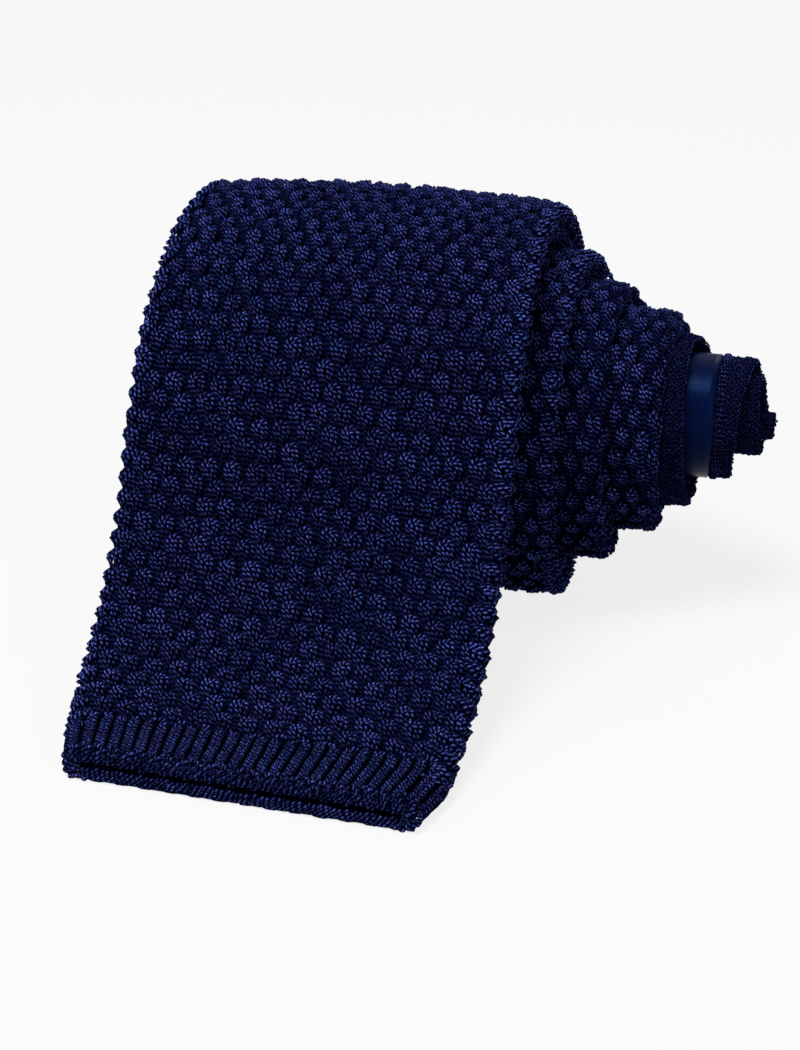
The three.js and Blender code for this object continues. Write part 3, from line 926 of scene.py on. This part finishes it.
# %% Strips on both sides of the roll
inner = roll_sections(1.0, NECK_TURN)
whole = roll_sections(0, NECK_TURN)
RIGHT_STRIP = 10.6
LEFT_STRIP = 13.5
knit_pieces.append(knit_on(
    "inner_turns_knit", inner, half_face(inner) - RIGHT_STRIP, past_fold(inner), 9, rows_on(inner), Seed=6,
    **{"Width at start": 0.84, "Width at end": 0.84},
))
knit_pieces.append(knit_on(
    "hollow_knit", whole, -past_fold(whole, LEFT_STRIP), -half_face(whole) + FOLD_REACH, 10, rows_on(whole),
    Seed=7, Loop=plain_loop, Sides=3,
))
knit_pieces.append(knit_on(
    "tail_edge_knit", tail, half_face(tail) - FOLD_REACH, past_fold(tail, 4.0), 5, rows_on(tail),
    Seed=8, Loop=plain_loop, Sides=3,
))

# %% Knit that faces the gap under the flap
behind = roll_sections(1.0, 1.35)
knit_pieces.append(knit_on(
    "behind_flap_knit", behind, -past_fold(behind, -0.5), half_face(behind) - RIGHT_STRIP, 27, rows_on(behind),
    Seed=9, Loop=plain_loop, Sides=3,
))
under = blade[:FLAP_SECTIONS + 1]
under_side = [{**s, "out": -s["out"], "crown": -s["crown"]} for s in under]
under_reach = half_face(under_side)
knit_pieces.append(knit_on(
    "flap_inside_knit", under_side[::-1], -under_reach[::-1], under_reach[::-1], 33, rows_on(under),
    Seed=10, Loop=plain_loop, Sides=3,
))

# %% [markdown]
# ## Braid along the two folds
# At the folds of a knit tie the loops turn over, and bigger stitches line the edge like a braid.
# They give the tie its scalloped outline. One column of V shapes runs along each fold.

# %% Fold braids
braid_loop = loop_curve("braid_loop", [
    [(-0.48, 0.34, -0.20), (-0.40, 0.10, 0.50), (-0.22, -0.16, 0.90), (-0.05, -0.42, 0.50)],
    [(-0.24, 0.40, -0.10), (-0.16, 0.10, 0.66), (-0.04, -0.12, 0.92)],
])
BRAID_STITCH = 3.2
edge = blade[HEM_SECTIONS - 6:FLAP_SECTIONS + 90]
braid_in = half_face(edge) - 0.7
braid_out = half_face(edge) + np.array([0.7 * math.pi * s["thick"] / 2 for s in edge])
for name, start, end in (("right_braid", braid_in, braid_out), ("left_braid", -braid_out, -braid_in)):
    knit_pieces.append(knit_on(
        name, edge, start, end, 1, rows_on(edge, BRAID_STITCH), Seed=16, Loop=braid_loop, Unevenness=0.05,
        **{"Half drop": 0.0, "Strand radius": 0.00033, "Edge height": 1.0},
    ))

# %% [markdown]
# ## Hem at the open end
# Just before the open end the openwork gives way to plain ribs of doubled yarn.
# A row of small chain stitches closes the edge, and the cut wall behind it shows yarn that runs across.
# These are loops of yarn again, so the same tree makes them with other loops and other counts.

# %% Ribs
rib_loop = loop_curve("rib_loop", [
    [(-0.21, -0.60, 0.10), (-0.23, -0.30, 0.46), (-0.22, 0.10, 0.56), (-0.21, 0.46, 0.48), (-0.2, 0.62, 0.2)],
    [(-0.02, -0.60, 0.05), (-0.02, -0.20, 0.30), (-0.02, 0.20, 0.30)],
])
HEM_COLUMNS = 32
hem = blade[:HEM_SECTIONS + 2]
hem_reach = past_fold(hem)
knit_pieces.append(knit_on(
    "hem_ribs", hem, -hem_reach, hem_reach, HEM_COLUMNS, 4, Seed=11, Loop=rib_loop, Unevenness=0.04,
    **{"Half drop": 0.0, "Strand radius": 0.00034},
))

# %% Rings of points over the wall at the open end
def wall_rings(shares):
    """Rings from the slit (share 1) out to the rim (share 0), all round the open end."""
    mouth = blade[0]
    rings = []
    for share in shares:
        thick = lerp(mouth["thick"], mouth["slit"], share)
        width = mouth["width"] - 2 * FOLD_WALL * share
        whole_ring = 2 * (width / 2 - thick / 2) + math.pi * thick / 2
        around = np.linspace(-whole_ring, whole_ring, 181)[None, :]
        rings.append(on_tube([{**mouth, "thick": thick, "width": width}], around)[0])
    return np.array(rings)


# %% Wall and chain row
wall_loop = loop_curve("wall_loop", [[(-0.66, -0.10, 0.02), (-0.30, 0.06, 0.30)]])
WALL = (MOUTH_HEIGHT - MOUTH_SLIT) / 2
wall = wall_rings((1, 0.75, 0.5, 0.25, 0))
knit_pieces.append(knit_over(
    "hem_wall", wall, np.array([0, 0.25, 0.5, 0.75, 1]) * WALL, 58, 4, Seed=12, Loop=wall_loop,
    Unevenness=0.05, **{"Half drop": 0.5, "Strand radius": 0.00030, "Edge height": 1.0},
))
chain_loop = loop_curve("chain_loop", [[(-0.46, -0.16, 0.20), (-0.34, 0.00, 0.52), (-0.14, 0.10, 0.68)]])
edge_sections = blade[:2]
edge_places = np.linspace(-1, 1, 181)[None, :] * past_fold(edge_sections)[:, None]
edge_rings = on_tube(edge_sections, edge_places)
inside_rims = []
for share in (0.6, 0.3):
    smaller = {
        **blade[0],
        "thick": lerp(MOUTH_HEIGHT, MOUTH_SLIT, share),
        "width": blade[0]["width"] - 2 * FOLD_WALL * share,
    }
    inside_rims.append(on_tube([smaller], np.linspace(-1, 1, 181)[None, :] * past_fold([smaller])[:, None])[0])
chain_points = np.concatenate([np.array(inside_rims), edge_rings])
chain_along = np.concatenate([[0, 0.3 * WALL], 0.6 * WALL + lengths(edge_sections)])
knit_pieces.append(knit_over(
    "hem_chain", chain_points, chain_along, 62, 2, Seed=13, Loop=chain_loop,
    Unevenness=0.04, **{"Half drop": 0.5, "Strand radius": 0.00034, "Edge height": 1.0},
))

# %% [markdown]
# ## Neck band
# Behind the neck the tie is a narrow band of much finer knit, so that it sits flat under a collar.
# It runs in to the middle of the roll, folds back on itself there and runs out again.
# Its stitches are small plain V shapes, made by the same tree on a finer grid.

# %% Neck band, folded in half
def band_sections():
    inward = roll_sections(NECK_TURN + 0.006, LAST_TURN)
    outward = roll_sections(NECK_TURN + 0.006, LAST_TURN, "tail")[::-1]
    last, first = inward[-1], outward[0]
    centre = (last["middle"] + first["middle"]) / 2
    radius = np.linalg.norm(last["middle"] - first["middle"]) / 2
    turn = -2 * math.pi * LAST_TURN
    ahead = np.array([0, -math.cos(turn), -math.sin(turn)])
    bends = []
    for angle in np.linspace(math.pi / 2, -math.pi / 2, 13)[1:-1]:
        out = last["out"] * math.sin(angle) - ahead * math.cos(angle)
        bends.append({**last, "middle": centre + out * radius, "out": out})
    return inward + bends + [{**s, "out": -s["out"]} for s in outward]


band = band_sections()
BAND_SINK = 0.12
band_body = hollow_tube("neck_cloth", band, BAND_SINK)
fine_silk = silk_yarn("fine_silk", YARN_DARK, YARN_VIOLET_HIGHLIGHT, YARN_BLUE_HIGHLIGHT, 0.5, 0.38, 0.8)
# Near-black as well: painted shade between the fine stitches.
fine_backing = backing_material("fine_backing", (0.003, 0.004, 0.022), 1000.0)
band_body.data.materials.append(fine_backing)

# %% Fine knit on the neck band
v_stitch = loop_curve("v_stitch", [[(-0.46, 0.42, 0.05), (-0.30, -0.05, 0.16), (-0.05, -0.55, 0.05)]])
FINE_WALE = 1.0
FINE_COURSE = 0.85
seen_band = roll_sections(NECK_TURN + 0.01, LAST_TURN)
fine_start = half_face(seen_band) - 9.0
fine_pieces = [knit_on(
    "neck_knit", seen_band, fine_start, past_fold(seen_band, 0.0), 11, rows_on(seen_band, FINE_COURSE),
    Seed=15, Loop=v_stitch, Sides=3, Yarn=fine_silk, Unevenness=0.08,
    **{"Half drop": 0.0, "Strand radius": 0.00017, "Edge height": 0.8},
)]

# %% [markdown]
# ## Satin ribbon
# A smooth satin ribbon is sewn round the neck band, over the seam. It is a thin strip that follows the band.
# Along its edge runs a row of slanting overlock stitches.

# %% Satin
satin = bpy.data.materials.new("satin")
satin.use_nodes = True
t = Tree(satin.node_tree)
shader = satin.node_tree.nodes["Principled BSDF"]
uv = t.add("ShaderNodeUVMap", uv_map="cloth")
thread_streaks_and_sheen = t.add("ShaderNodeTexNoise", {
    "Vector": t.add("ShaderNodeMapping", {"Vector": uv.outputs[0], "Scale": (9000, 400, 1)}).outputs[0],
    "Scale": 1.0, "Detail": 2.0,
})
# The lighter streaks are partly the satin's own thread tone and partly a painted sheen.
tone_with_painted_light = t.add("ShaderNodeMix", {"Factor": thread_streaks_and_sheen.outputs["Fac"]}, data_type="RGBA")
tone_with_painted_light.inputs["A"].default_value = (0.0005, 0.0012, 0.008, 1)
tone_with_painted_light.inputs["B"].default_value = (0.0012, 0.0048, 0.034, 1)
relief = t.add("ShaderNodeBump", {"Height": thread_streaks_and_sheen.outputs["Fac"], "Strength": 0.25, "Distance": 0.0001})
t.tree.links.new(tone_with_painted_light.outputs["Result"], shader.inputs["Base Color"])
t.tree.links.new(relief.outputs[0], shader.inputs["Normal"])
shader.inputs["Roughness"].default_value = 0.32
shader.inputs["Specular IOR Level"].default_value = 0.06
shader.inputs["Specular Tint"].default_value = (0.12, 0.34, 1.0, 1)
shader.inputs["Anisotropic"].default_value = 0.5

# %% Ribbon strip
ribbon = roll_sections(RIBBON_TO, RIBBON_FROM)
RIBBON_LIFT = 0.45
ribbon_turns = np.linspace(RIBBON_TO, RIBBON_FROM, len(ribbon))
askew = np.interp(ribbon_turns, (4.3, 4.75, 5.05, 5.35), (0.6, 0.2, -2.4, -2.8))[:, None]
side = np.linspace(-1, 1, 25)[None, :] * (NECK_WIDTH / 2 - RIBBON_MARGIN) + askew
outside = on_tube(ribbon, side, RIBBON_LIFT)
inside = on_tube(ribbon, side[:, ::-1], RIBBON_LIFT - RIBBON_THICKNESS)
ring = np.concatenate([outside, inside], axis=1)
flat_places = np.stack([
    np.concatenate([side, side[:, ::-1]], axis=1),
    np.repeat(lengths(ribbon)[:, None], ring.shape[1], axis=1),
], axis=2) * MM
ribbon_piece = grid_mesh("ribbon", ring, closed=True, cloth=flat_places, ends=True)
ribbon_piece.data.materials.append(satin)

# %% Overlock stitches beside the ribbon
overlock = loop_curve("overlock", [[(-0.45, -0.30, 0.1), (-0.25, -0.22, 0.45)]])
stitched = roll_sections(RIBBON_TO, RIBBON_FROM)
beside = NECK_WIDTH / 2 - RIBBON_MARGIN + 0.2 + askew[:, 0]
fine_pieces.append(knit_on(
    "overlock_stitches", stitched, beside, beside + 1.5, 1, rows_on(stitched, 0.75),
    Seed=14, Loop=overlock, Yarn=fine_silk, Unevenness=0.02,
    **{"Half drop": 0.0, "Strand radius": 0.00018, "Edge height": 1.0},
))

# %% [markdown]
# ## Attach to the body
# Every piece rides on the one body of the row, and the plain solids that these pieces replace are hidden.

# %% Ride on the body
for body, node, slot in (
    (blade_body, "wide_blade", "ribbed_knit"),
    (tail_body, "narrow_tail", "ribbed_knit"),
    (band_body, "neck_band", "fine_knit"),
    (ribbon_piece, "neck_ribbon", "satin"),
):
    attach(body, "root")
    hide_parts(node)
for piece in knit_pieces:
    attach(piece, "root")
for piece in fine_pieces:
    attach(piece, "root")
for pattern in (tuck_loop, plain_loop, braid_loop, rib_loop, wall_loop, chain_loop, v_stitch, overlock):
    bpy.data.objects.remove(pattern)
